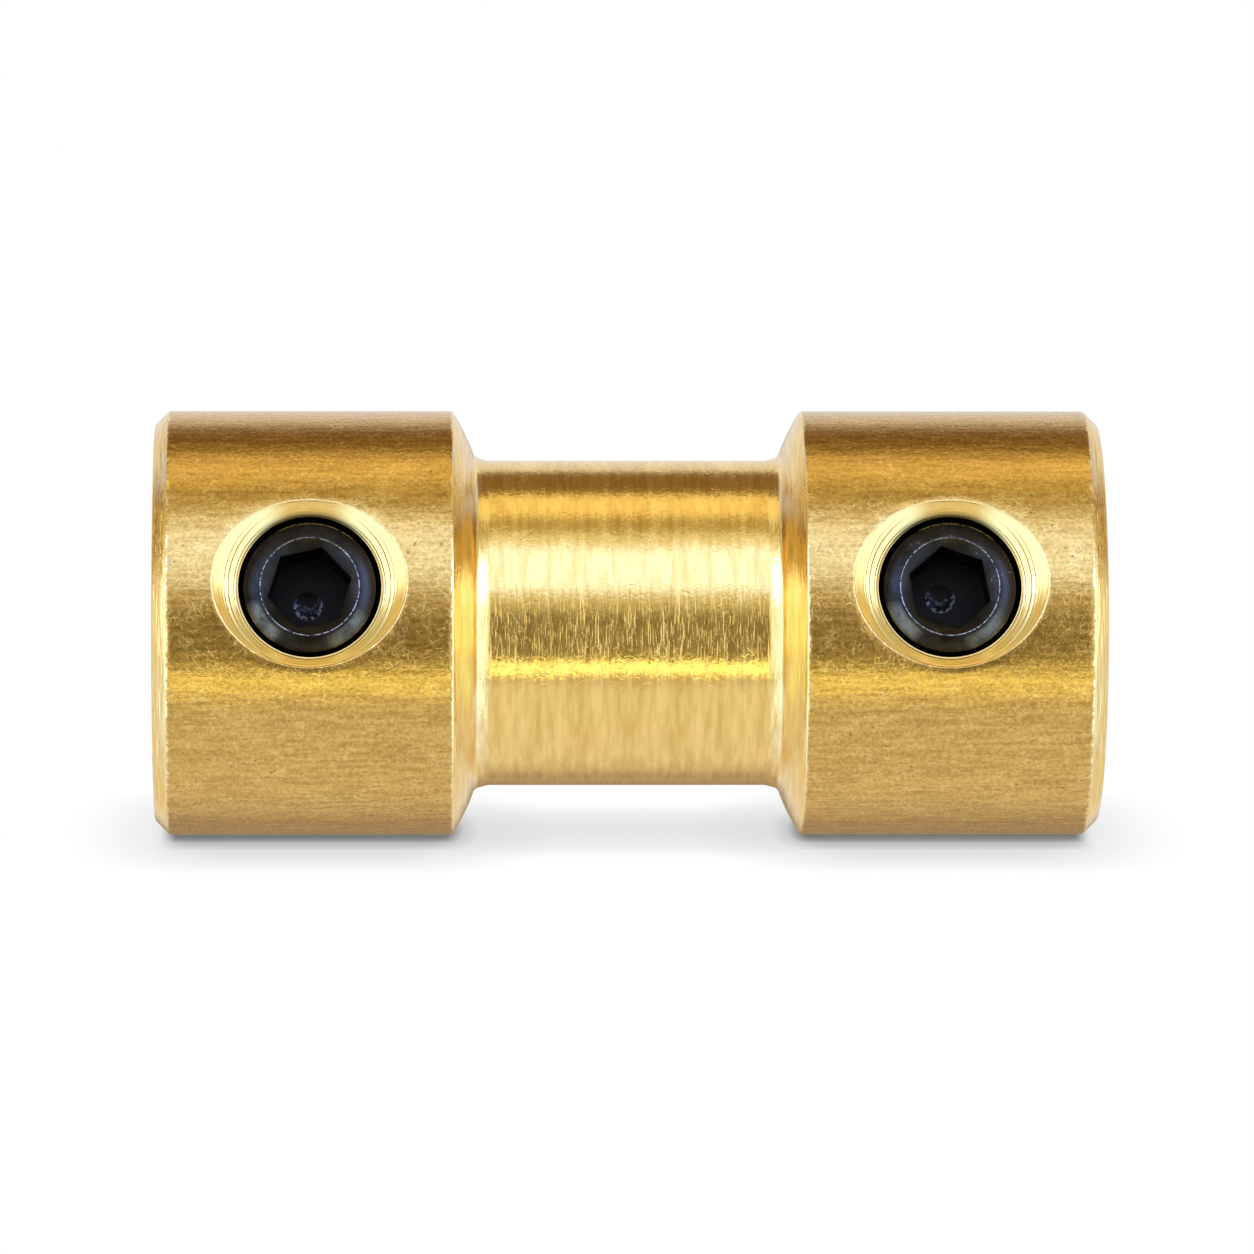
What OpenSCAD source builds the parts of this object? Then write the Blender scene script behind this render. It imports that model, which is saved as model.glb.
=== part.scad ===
// Rigid shaft coupling
//
// A turned brass body with two collars and a waisted neck, bored right through.
// A shaft slides into each end, and a socket set screw in each collar clamps it.
// The part stands on one end face: +Z runs along the bore, and the screws face -Y.

/* [Body] */
// Outside diameter of both collars
collar_d = 9; // [8.5:0.1:14]
// Length of each collar, with its end chamfer
collar_l = 6.3; // [5.6:0.1:10]
// Chamfer round each end face
end_chamfer = 0.3; // [0.1:0.05:0.6]
// Diameter of the neck
neck_d = 6.9; // [5.5:0.1:8]
// Length of the neck, from shoulder to shoulder
neck_l = 6.4; // [3:0.1:12]
// Length of each shoulder, from the collar's edge to the neck
shoulder_l = 0.5; // [0.3:0.05:1]
// Radius of the crown on each shoulder
shoulder_crown_r = 4.4; // [3:0.1:12]
// Fillet at the foot of each shoulder
foot_fillet_r = 0.15; // [0.1:0.05:0.6]

/* [Bore] */
// Diameter of the bore that takes the shafts
bore_d = 3.2; // [3.1:0.05:4.5]
// Chamfer at each mouth of the bore
bore_chamfer = 0.25; // [0.1:0.05:0.4]

/* [Tapped holes] */
// Nominal diameter of the thread in each collar
thread_d = 3; // [2.5, 3]
// Play between a screw and its hole, on the radius
thread_play = 0.02; // [0.01:0.01:0.05]
// Width of the countersink round the thread, at the top of the collar
sink_w = 0.54; // [0.2:0.02:0.6]
// Angle of the countersink, side to side
sink_angle = 70; // [60:2:90]

/* [Set screws] */
// Length of a set screw
screw_l = 2; // [1.8:0.1:4]
// Gap between a screw's tip and the wall of the bore
tip_gap = 0.25; // [0.1:0.05:0.6]
// Chamfer round the tip
tip_chamfer = 0.45; // [0.2:0.05:0.6]
// Diameter of the cup in the tip
cup_d = 1.4; // [0.8:0.1:1.8]
// Depth of the cup in the tip
cup_depth = 0.3; // [0.1:0.05:0.4]
// Width of the hexagon socket across its flats
socket_af = 1.5; // [0.9:0.1:1.6]
// Depth of the hexagon socket
socket_depth = 1.2; // [0.8:0.05:1.4]
// Width of the socket's tapered mouth, outside the hexagon's corners
mouth_w = 0.17; // [0.05:0.01:0.2]
// Angle of the tapered mouth, side to side
mouth_angle = 120; // [90:5:140]
// Width of the flat land round the mouth
land_w = 0.04; // [0.02:0.01:0.08]
// Length of the chamfer between the land and the thread
head_chamfer_l = 0.28; // [0.1:0.02:0.4]
// Diameter of the drill mark in the floor of the socket
dimple_d = 0.6; // [0.3:0.05:0.8]
// Angle of the drill mark, side to side
dimple_angle = 120; // [90:2:130]
// Turn at which the lower screw's socket stands
lower_turn = 11; // [0:1:59]
// Turn at which the upper screw's socket stands
upper_turn = 43; // [0:1:59]

/* [Hidden] */
$fn = 96;
BRASS = [0.80, 0.61, 0.25];
BLACK_STEEL = [0.10, 0.11, 0.13];
// Straight steps along each small arc of the turned outline
ARC_STEPS = 8;
// Overlap that keeps a cutter's end off the face that it cuts
CUT = 0.5;

total_l = 2 * (collar_l + shoulder_l) + neck_l;
collar_r = collar_d / 2;
neck_r = neck_d / 2;
bore_r = bore_d / 2;
thread_r = thread_d / 2;
// A screw stands halfway along its collar's plain band.
screw_z = (end_chamfer + collar_l) / 2;
tip_r = bore_r + tip_gap;
screw_r = thread_r - thread_play;
socket_corner_r = socket_af / 2 / cos(30);
mouth_r = socket_corner_r + mouth_w;

// Points along an arc in the plane of the outline, [radius, height]
function arc(centre, r, from, to) = [
    for (i = [0:ARC_STEPS])
        let (a = from + (to - from) * i / ARC_STEPS)
            centre + r * [cos(a), sin(a)]
];

// Outline of the lower half, from the bore's mouth round to the neck.
// The shoulder's crown runs from the collar's edge towards the neck's foot, and
// the fillet touches both the crown and the neck.
function lower_outline() = let (
    edge = [collar_r, collar_l],
    foot = [neck_r, collar_l + shoulder_l],
    half_chord = norm(foot - edge) / 2,
    along = (foot - edge) / (2 * half_chord),
    inward = [-along[1], along[0]],
    rise = sqrt(pow(shoulder_crown_r, 2) - pow(half_chord, 2)),
    crown = (edge + foot) / 2 + inward * rise,
    reach = shoulder_crown_r + foot_fillet_r,
    fillet_r = neck_r + foot_fillet_r,
    fillet = [fillet_r, crown[1] + sqrt(pow(reach, 2) - pow(fillet_r - crown[0], 2))],
    from_edge = atan2(edge[1] - crown[1], edge[0] - crown[0]),
    to_fillet = atan2(fillet[1] - crown[1], fillet[0] - crown[0])
) concat(
    [
        [bore_r, bore_chamfer],
        [bore_r + bore_chamfer, 0],
        [collar_r - end_chamfer, 0],
        [collar_r, end_chamfer],
    ],
    arc(crown, shoulder_crown_r, from_edge, to_fillet),
    arc(fillet, foot_fillet_r, 180 + to_fillet, 180)
);

// The same outline turned end for end, for the upper half
function upper_outline(lower) = [
    for (i = [len(lower) - 1:-1:0]) [lower[i][0], total_l - lower[i][1]]
];

// Stands its children at a height on the bore's axis, with their +Z facing -Y.
module radially(z) {
    translate([0, 0, z]) rotate([90, 0, 0]) children();
}

// Hole for one screw, from the bore's axis out through its countersink
module tapped_hole() {
    sink_depth = sink_w / tan(sink_angle / 2);
    flare = CUT * tan(sink_angle / 2);
    cylinder(h = collar_r + CUT, r = thread_r);
    translate([0, 0, collar_r - sink_depth])
        cylinder(h = sink_depth + CUT, r1 = thread_r, r2 = thread_r + sink_w + flare);
}

module coupling_body() {
    lower = lower_outline();
    color(BRASS) difference() {
        rotate_extrude() polygon(concat(lower, upper_outline(lower)));
        for (z = [screw_z, total_l - screw_z]) radially(z) tapped_hole();
    }
}

// Hexagon socket with its tapered mouth and drill mark, sunk from z = 0
module socket(turn) {
    mouth_slope = tan(mouth_angle / 2);
    dimple_depth = dimple_d / 2 / tan(dimple_angle / 2);
    rotate([0, 0, turn]) translate([0, 0, -socket_depth])
        cylinder(h = socket_depth + CUT, r = socket_corner_r, $fn = 6);
    translate([0, 0, -mouth_r / mouth_slope])
        cylinder(h = mouth_r / mouth_slope + CUT, r1 = 0, r2 = mouth_r + CUT * mouth_slope);
    translate([0, 0, -socket_depth - dimple_depth])
        cylinder(h = dimple_depth, r1 = 0, r2 = dimple_d / 2);
}

// One set screw, cup point at z = 0 and socket end at z = screw_l
module set_screw(turn) {
    color(BLACK_STEEL) difference() {
        rotate_extrude() polygon([
            [0, cup_depth],
            [cup_d / 2, 0],
            [screw_r - tip_chamfer, 0],
            [screw_r, tip_chamfer],
            [screw_r, screw_l - head_chamfer_l],
            [mouth_r + land_w, screw_l],
            [0, screw_l],
        ]);
        translate([0, 0, screw_l]) socket(turn);
    }
}

module lower_set_screw() {
    radially(screw_z) translate([0, 0, tip_r]) set_screw(lower_turn);
}

module upper_set_screw() {
    radially(total_l - screw_z) translate([0, 0, tip_r]) set_screw(upper_turn);
}

coupling_body();
lower_set_screw();
upper_set_screw();
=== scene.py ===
"""Looks of the rigid shaft coupling.

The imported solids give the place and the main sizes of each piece. This script turns a finer body
and two finer set screws over them, with the threads, tool marks and broken edges that the solids
leave out. It finishes them in brass and blackened steel and lays them in a plain light tent.
Shapes are worked out in millimetres and scaled to metres when a mesh is finished.
"""

import logging
import math
from collections.abc import Callable
from dataclasses import dataclass
from enum import Enum
from typing import Any

import bmesh
import bpy
from bmesh.types import BMEdge, BMesh, BMVert
from bpy.types import Material, Node, NodeSocket, NodeTree, Object
from mathutils import Matrix, Vector


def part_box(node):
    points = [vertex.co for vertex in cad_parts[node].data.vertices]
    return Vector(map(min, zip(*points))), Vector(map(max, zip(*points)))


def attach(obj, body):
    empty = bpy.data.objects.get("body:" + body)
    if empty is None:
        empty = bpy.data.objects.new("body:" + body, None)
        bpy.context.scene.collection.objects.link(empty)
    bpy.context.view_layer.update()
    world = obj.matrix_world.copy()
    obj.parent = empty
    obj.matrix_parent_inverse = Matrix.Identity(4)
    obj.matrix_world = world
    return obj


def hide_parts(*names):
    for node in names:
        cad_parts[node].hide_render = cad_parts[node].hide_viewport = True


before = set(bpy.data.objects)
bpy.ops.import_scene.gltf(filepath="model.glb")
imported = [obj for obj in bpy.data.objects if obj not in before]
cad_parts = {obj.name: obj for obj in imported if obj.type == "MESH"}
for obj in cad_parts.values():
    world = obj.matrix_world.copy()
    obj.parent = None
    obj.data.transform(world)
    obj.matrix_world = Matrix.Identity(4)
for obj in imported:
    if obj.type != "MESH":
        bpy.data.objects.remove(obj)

MM = 0.001
PHOTO_SIDE = 1254
SHARP_EDGE = math.radians(28)
BORE_AXIS = Vector((0, 0, 1))
SOCKET_TURNS = {"lower_set_screw": 11, "upper_set_screw": 43}
DIMPLE_SHIFTS = {"lower_set_screw": (-0.02, 0.15), "upper_set_screw": (-0.18, 0.04)}
SCUFF_ANGLES = (38, 117)
SCRATCHES_PER_MM = (2.4, 2.4, 34.0)
SCRATCH_EDGE = 0.06
HAIR_WIDTHS = (0.06, 0.02)
HAIR_PATCHES = (0.53, 0.59)
WHITE = (1.0, 1.0, 1.0, 1.0)
BLACK = (0.0, 0.0, 0.0, 1.0)

log = logging.getLogger("coupling")
Place = Callable[[Vector], Vector]
RGBA = tuple[float, float, float, float]
Scale = tuple[float, float, float]
Way = tuple[float, float]


class Finish(Enum):
    """Material slots of the body's mesh."""

    DRAWN = 0
    TURNED = 1
    CUT = 2


def ease(value: float, low: float, high: float) -> float:
    """Smooth step of a value from 0 at the low limit to 1 at the high one."""
    share = min(max((value - low) / (high - low), 0.0), 1.0)
    return share * share * (3 - 2 * share)


def break_sharp(
    bm: BMesh, geom: list[BMVert] | list[BMEdge], width: float, segments: int = 3
) -> None:
    """Takes the sharpness off corners of an outline or edges of a solid.

    Args:
        bm: Shape that holds them.
        geom: The corners or the edges.
        width: Reach of the break on each side.
        segments: Steps across the break.
    """
    affect = "VERTICES" if isinstance(geom[0], BMVert) else "EDGES"
    bmesh.ops.bevel(
        bm, geom=geom, offset=width, affect=affect, segments=segments, profile=0.5, material=-1
    )


class Lathe:
    """A tool path in the plane of the bore, turned into a solid about the bore."""

    def __init__(self, bm: BMesh, radius: float, height: float) -> None:
        """Sets the tool down at the start of the path."""
        self.bm = bm
        self.corners: list[BMVert] = []
        self.tool: BMVert = bmesh.ops.create_vert(bm, co=(radius, 0, height))["vert"][0]

    def line_to(self, radius: float, height: float, corner: bool = True) -> None:
        """Cuts a straight line.

        Args:
            radius: Distance of the line's end from the bore's axis.
            height: Height of the line's end along the bore.
            corner: Whether the line ends at a corner, which is broken later.
        """
        self.tool = bmesh.ops.extrude_vert_indiv(self.bm, verts=[self.tool])["verts"][0]
        self.tool.co = (radius, 0, height)
        if corner:
            self.corners.append(self.tool)

    def arc(self, centre: Vector, angle: float, steps: int) -> None:
        """Cuts an arc.

        Args:
            centre: Centre of the arc in the plane of the path.
            angle: Angle that the tool travels, from the radius towards the height.
            steps: Straight steps along the arc.
        """
        made = bmesh.ops.spin(
            self.bm, geom=[self.tool], cent=centre, axis=(0, -1, 0), angle=angle, steps=steps
        )
        self.tool = next(item for item in made["geom_last"] if isinstance(item, BMVert))

    def break_corners(self, width: float) -> None:
        """Takes the sharpness off every corner of the path."""
        break_sharp(self.bm, self.corners, width)

    def mirror_end_for_end(self, middle: float) -> None:
        """Repeats the path on the other side of the middle and joins the two."""
        bmesh.ops.translate(self.bm, vec=(0, 0, -middle), verts=self.bm.verts[:])
        path = self.bm.verts[:] + self.bm.edges[:]
        bmesh.ops.mirror(self.bm, geom=path, merge_dist=1e-4, axis="Z")
        bmesh.ops.translate(self.bm, vec=(0, 0, middle), verts=self.bm.verts[:])

    def split_into_rows(self, row: float, fine_row: float, fine_r: float) -> None:
        """Splits every edge that is longer than a row into equal rows.

        Args:
            row: Longest row.
            fine_row: Longest row on the outermost wall.
            fine_r: Radius of that wall.
        """
        long_edges: dict[int, list[BMEdge]] = {}
        for edge in self.bm.edges:
            outermost = min(vert.co.x for vert in edge.verts) > fine_r - fine_row / 10
            cuts = int(edge.calc_length() / (fine_row if outermost else row))
            if cuts:
                long_edges.setdefault(cuts, []).append(edge)
        for cuts, edges in long_edges.items():
            bmesh.ops.subdivide_edges(self.bm, edges=edges, cuts=cuts)

    def turn(self, steps: int) -> None:
        """Turns the path all the way round the bore."""
        bmesh.ops.spin(
            self.bm,
            geom=self.bm.verts[:] + self.bm.edges[:],
            cent=(0, 0, 0),
            axis=BORE_AXIS,
            angle=math.tau,
            steps=steps,
            use_merge=True,
        )


class RingSweep:
    """A closed ring of edges that is extruded again and again, each time to a new place."""

    def __init__(self, bm: BMesh, ring: list[BMEdge], finish: Finish) -> None:
        """Takes the ring to start from and the finish of the faces to come."""
        self.bm = bm
        self.ring = ring
        self.finish = finish

    def to(self, place: Place, rows: int = 1, shape: Place | None = None) -> list[BMEdge]:
        """Extrudes the ring once.

        Args:
            place: Gives the new place of a point of the ring.
            rows: Rows of faces between the old ring and the new one.
            shape: Gives the place of a point between the two rings, from its place on the
                straight line between them.

        Returns:
            The edges of the new ring.
        """
        old = {vert for edge in self.ring for vert in edge.verts}
        made = bmesh.ops.extrude_edge_only(self.bm, edges=self.ring)["geom"]
        new = {item for item in made if isinstance(item, BMVert)}
        for vert in new:
            vert.co = place(vert.co)
        self.ring = [edge for edge in made if isinstance(edge, BMEdge) and edge.is_boundary]
        for edge in self.ring:
            edge.link_faces[0].material_index = self.finish.value
        if rows > 1:
            sides = {edge for vert in new for edge in vert.link_edges if edge.other_vert(vert) in old}
            split = bmesh.ops.subdivide_edges(self.bm, edges=list(sides), cuts=rows - 1)
            for item in split["geom_inner"]:
                if shape and isinstance(item, BMVert):
                    item.co = shape(item.co)
        return self.ring

    def close(self) -> None:
        """Draws the ring together in its middle."""
        verts = list({vert for edge in self.ring for vert in edge.verts})
        middle = sum((vert.co for vert in verts), Vector()) / len(verts)
        bmesh.ops.pointmerge(self.bm, verts=verts, merge_co=middle)


@dataclass(frozen=True)
class ScrewAxis:
    """A line square to the bore that faces -Y, on which a hole or a screw stands."""

    height: float
    across: float = 0.0

    def turn_of(self, point: Vector) -> float:
        """Angle of a point about the axis, counted as seen from outside."""
        return math.atan2(point.z - self.height, point.x - self.across)

    def at(self, turn: float, radius: float, rise: float) -> Vector:
        """Point at a turn and a radius about the axis, a rise out from the bore's axis."""
        x = self.across + radius * math.cos(turn)
        return Vector((x, -rise, self.height + radius * math.sin(turn)))


@dataclass(frozen=True)
class Thread:
    """The right-hand thread that a hole and its screw share."""

    major_r: float = 1.5
    pitch: float = 0.5
    depth: float = 0.2
    run_in: float = 0.4
    crest_share: float = 0.14
    root_share: float = 0.2

    def groove(self, turn: float, rise: float) -> float:
        """How deep the screw's groove is at a point, from 0 on its crest to 1 in its root."""
        phase = (rise / self.pitch - turn / math.tau) % 1.0
        away = abs(2 * phase - 1)
        return min(max((away - self.crest_share) / (1 - self.crest_share - self.root_share), 0), 1)

    def cut(self, turn: float, rise: float, mouth: float, foot: float) -> float:
        """How far the thread stands in at a point, run in gently at mouth and foot."""
        run = ease(rise, mouth, mouth - self.run_in) * ease(rise, foot, foot + self.run_in / 2)
        return self.depth * run * self.groove(turn, rise)


@dataclass(frozen=True)
class TappedHole:
    """One countersunk and tapped hole, from a collar's wall to the bore."""

    axis: ScrewAxis
    collar_r: float
    bore_r: float
    thread: Thread
    sink_w: float = 0.54
    sink_half_angle: float = math.radians(35)
    ledge_w: float = 0.035
    ledge_bias: float = 0.48
    ringed_l: float = 0.45
    mark_pitch: float = 0.13
    mark_depth: float = 0.038
    mark_bias: float = 0.4
    mark_share: float = 0.66
    mark_sway: float = 0.12
    sway_turn: float = 2.3
    rim_tries: int = 12

    @property
    def sink_slope(self) -> float:
        """Growth of the countersink's radius for each step out."""
        return math.tan(self.sink_half_angle)

    @property
    def sink_foot(self) -> float:
        """Rise at which the countersink would meet the thread."""
        return self.collar_r - self.sink_w / self.sink_slope

    @property
    def ledge_rise(self) -> float:
        """Rise of the narrow flat ledge between the countersink and the thread."""
        return self.sink_foot + self.ledge_w / self.sink_slope

    def sink_r(self, rise: float) -> float:
        """Radius of the plain countersink at a rise."""
        return self.thread.major_r + (rise - self.sink_foot) * self.sink_slope

    def tool_mark(self, rise: float) -> float:
        """Step that the tap leaves near the thread, ring by uneven ring: a tread, then a riser."""
        count = (rise - self.ledge_rise) / self.mark_pitch
        phase = (count + self.mark_sway * math.sin(self.sway_turn * count)) % 1.0
        tread = phase / self.mark_share
        riser = (1 - phase) / (1 - self.mark_share)
        return self.mark_depth * (min(tread, riser) - 0.5)

    def rim_rise(self, turn: float) -> float:
        """Rise of the countersink's rim, where it comes out through the collar's round wall."""
        rise = self.collar_r
        for _ in range(self.rim_tries):
            rise = math.sqrt(self.collar_r**2 - (self.sink_r(rise) * math.cos(turn)) ** 2)
        return rise

    def rim(self, point: Vector) -> Vector:
        """Place of a point on the countersink's rim."""
        turn = self.axis.turn_of(point)
        rise = self.rim_rise(turn)
        return self.axis.at(turn, self.sink_r(rise), rise)

    def sink(self, point: Vector) -> Vector:
        """Place of a point on the cone, ringed next to the thread and most on one side."""
        turn, rise = self.axis.turn_of(point), -point.y
        near = self.ledge_rise + self.ringed_l
        share = 1 - self.mark_bias * (1 + math.cos(turn))
        share *= ease(rise, near, near - self.mark_pitch)
        share *= ease(self.rim_rise(turn) - rise, self.mark_pitch / 3, self.mark_pitch)
        mark = self.tool_mark(rise) * share
        return point + Vector((math.cos(turn), 0, math.sin(turn))) * mark

    def mouth(self, point: Vector) -> Vector:
        """Place of a point where the countersink meets the ledge, which is cut on one side only."""
        turn = self.axis.turn_of(point)
        width = self.ledge_w * (1 - self.ledge_bias * (1 + math.cos(turn)))
        return self.axis.at(turn, self.thread.major_r + width, self.ledge_rise)

    def lip(self, point: Vector) -> Vector:
        """Place of a point where the ledge meets the thread."""
        return self.axis.at(self.axis.turn_of(point), self.thread.major_r, self.ledge_rise)

    def foot(self, point: Vector) -> Vector:
        """Place of a point where the hole breaks into the bore."""
        turn = self.axis.turn_of(point)
        rise = math.sqrt(self.bore_r**2 - (self.thread.major_r * math.cos(turn)) ** 2)
        return self.axis.at(turn, self.thread.major_r, rise)

    def wall(self, point: Vector) -> Vector:
        """Place of a point on the tapped wall."""
        turn, rise = self.axis.turn_of(point), -point.y
        radius = self.thread.major_r - self.thread.cut(turn, rise, self.sink_foot, self.bore_r)
        return self.axis.at(turn, radius, rise)


def add_object(bm: BMesh, name: str) -> Object:
    """Turns a shape into an object at the origin.

    Args:
        bm: The shape in metres. It is freed.
        name: Name of the object and of its mesh.

    Returns:
        The new object.
    """
    mesh = bpy.data.meshes.new(name)
    bm.to_mesh(mesh)
    bm.free()
    made = bpy.data.objects.new(name, mesh)
    bpy.context.collection.objects.link(made)
    return made


def finish_piece(bm: BMesh, name: str, node: str) -> Object:
    """Scales a modelled shape to metres and hands it over as the piece that stands for a solid.

    Args:
        bm: The shape in millimetres. It is freed.
        name: Name of the new piece.
        node: Solid that the piece stands for.

    Returns:
        The new object, at the origin.
    """
    bmesh.ops.recalc_face_normals(bm, faces=bm.faces[:])
    bmesh.ops.scale(bm, vec=(MM, MM, MM), verts=bm.verts[:])
    piece = add_object(bm, name)
    piece.data.shade_smooth()
    piece.data.set_sharp_from_angle(angle=SHARP_EDGE)
    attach(piece, "root")
    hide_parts(node)
    return piece


@dataclass
class CouplingBody:
    """The turned brass body: two collars, two crowned shoulders, a neck and a bore."""

    collar_r: float
    length: float
    holes: list[TappedHole]
    collar_l: float = 6.3
    end_chamfer: float = 0.3
    neck_r: float = 3.45
    shoulder_l: float = 0.5
    crown_r: float = 4.4
    fillet_r: float = 0.15
    taper: float = math.radians(15)
    taper_rise: float = 0.055
    bore_r: float = 1.6
    bore_chamfer: float = 0.25
    broken_edge: float = 0.04
    rim_edge: float = 0.035
    turning_steps: int = 270
    arc_steps: int = 8
    row: float = 0.7
    collar_row: float = 0.12
    window_l: float = 2.5
    window_turn: float = math.radians(34)
    bore_window_l: float = 1.9
    bore_window_turn: float = math.radians(82)
    apron_rows: int = 5
    sink_rows: int = 60
    wall_rows: int = 36

    def crown_centre(self) -> Vector:
        """Centre of the crown's circle, which passes through the collar's edge and the foot."""
        edge = Vector((self.collar_r, 0, self.collar_l))
        foot = Vector((self.neck_r, 0, self.collar_l + self.shoulder_l))
        chord = foot - edge
        rise = math.sqrt(self.crown_r**2 - (chord.length / 2) ** 2)
        inward = Vector((-chord.z, 0, chord.x)).normalized()
        return (edge + foot) / 2 + inward * rise

    def cut_outline(self, bm: BMesh) -> Lathe:
        """Cuts the outline of the body, from the bore round to the neck and end for end.

        Args:
            bm: Shape to cut in.

        Returns:
            The lathe with the whole outline.
        """
        middle = self.length / 2
        crown = self.crown_centre()
        foot_r = self.neck_r + self.taper_rise
        fillet_r = foot_r + self.fillet_r * math.cos(self.taper)
        reach = self.crown_r + self.fillet_r
        fillet = Vector((fillet_r, 0, crown.z + math.sqrt(reach**2 - (fillet_r - crown.x) ** 2)))
        from_edge = math.atan2(self.collar_l - crown.z, self.collar_r - crown.x)
        to_fillet = math.atan2(fillet.z - crown.z, fillet.x - crown.x)
        lathe = Lathe(bm, self.bore_r, middle)
        lathe.line_to(self.bore_r, self.bore_chamfer)
        lathe.line_to(self.bore_r + self.bore_chamfer, 0)
        lathe.line_to(self.collar_r - self.end_chamfer, 0)
        lathe.line_to(self.collar_r, self.end_chamfer)
        lathe.line_to(self.collar_r, self.collar_l)
        lathe.arc(crown, to_fillet - from_edge, self.arc_steps)
        lathe.arc(fillet, self.taper - to_fillet, self.arc_steps)
        run_out = self.taper_rise / math.tan(self.taper) - self.fillet_r * math.sin(self.taper)
        lathe.line_to(self.neck_r, fillet.z + run_out)
        lathe.line_to(self.neck_r, middle, corner=False)
        lathe.break_corners(self.broken_edge)
        lathe.mirror_end_for_end(middle)
        lathe.split_into_rows(self.row, self.collar_row, self.collar_r)
        return lathe

    def open_window(
        self, bm: BMesh, hole: TappedHole, radius: float, half_l: float, half_turn: float
    ) -> list[BMEdge]:
        """Takes the faces out of a round wall where a hole comes through.

        Args:
            bm: The turned body.
            hole: The hole.
            radius: Radius of the wall.
            half_l: Half the window's length along the bore.
            half_turn: Half the window's angle round the bore.

        Returns:
            The edges round the window.
        """
        doomed = []
        for face in bm.faces:
            middle = face.calc_center_median()
            on_wall = abs(math.hypot(middle.x, middle.y) - radius) < self.broken_edge / 4
            in_length = abs(middle.z - hole.axis.height) < half_l
            if on_wall and in_length and abs(math.atan2(middle.x, -middle.y)) < half_turn:
                doomed.append(face)
        edges = {edge for face in doomed for edge in face.edges}
        bmesh.ops.delete(bm, geom=doomed, context="FACES")
        return [edge for edge in edges if edge.is_valid and edge.is_boundary]

    def on_collar(self, point: Vector) -> Vector:
        """Place of a point on the collar's round wall."""
        return Vector((point.x, -math.sqrt(self.collar_r**2 - point.x**2), point.z))

    def drill(self, bm: BMesh, hole: TappedHole) -> list[BMEdge]:
        """Cuts one hole: its window, countersink and thread, and joins it to the bore.

        Args:
            bm: The turned body.
            hole: The hole to cut.

        Returns:
            The edges of the countersink's rim.
        """
        window = self.open_window(bm, hole, self.collar_r, self.window_l, self.window_turn)
        sweep = RingSweep(bm, window, Finish.DRAWN)
        rim = sweep.to(hole.rim, self.apron_rows, self.on_collar)
        sweep.finish = Finish.CUT
        sweep.to(hole.mouth, self.sink_rows, hole.sink)
        sweep.to(hole.lip)
        foot = sweep.to(hole.foot, self.wall_rows, hole.wall)
        bore = self.open_window(bm, hole, self.bore_r, self.bore_window_l, self.bore_window_turn)
        joined = bmesh.ops.bridge_loops(bm, edges=foot + bore)
        for face in joined["faces"]:
            face.material_index = Finish.TURNED.value
        return rim

    def build(self) -> Object:
        """Turns the body, drills it and breaks the rims of its holes.

        Returns:
            The body's object.
        """
        bm = bmesh.new()
        self.cut_outline(bm).turn(self.turning_steps)
        for face in bm.faces:
            middle = face.calc_center_median()
            drawn = math.hypot(middle.x, middle.y) > self.collar_r - self.broken_edge / 4
            face.material_index = (Finish.DRAWN if drawn else Finish.TURNED).value
        rims = [edge for hole in self.holes for edge in self.drill(bm, hole)]
        break_sharp(bm, rims, self.rim_edge)
        return finish_piece(bm, "brass_body", "coupling_body")

    def dress(self, piece: Object) -> None:
        """Gives the body its three brass finishes, in the order of its slots."""
        middle = self.length / 2
        edges = (middle - self.collar_l, middle - self.end_chamfer)
        piece.data.materials.append(DrawnBrass(middle, edges).material())
        piece.data.materials.append(TurnedBrass(middle).material())
        heights = tuple(hole.axis.height for hole in self.holes)
        piece.data.materials.append(CutBrass(heights=heights).material())


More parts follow.
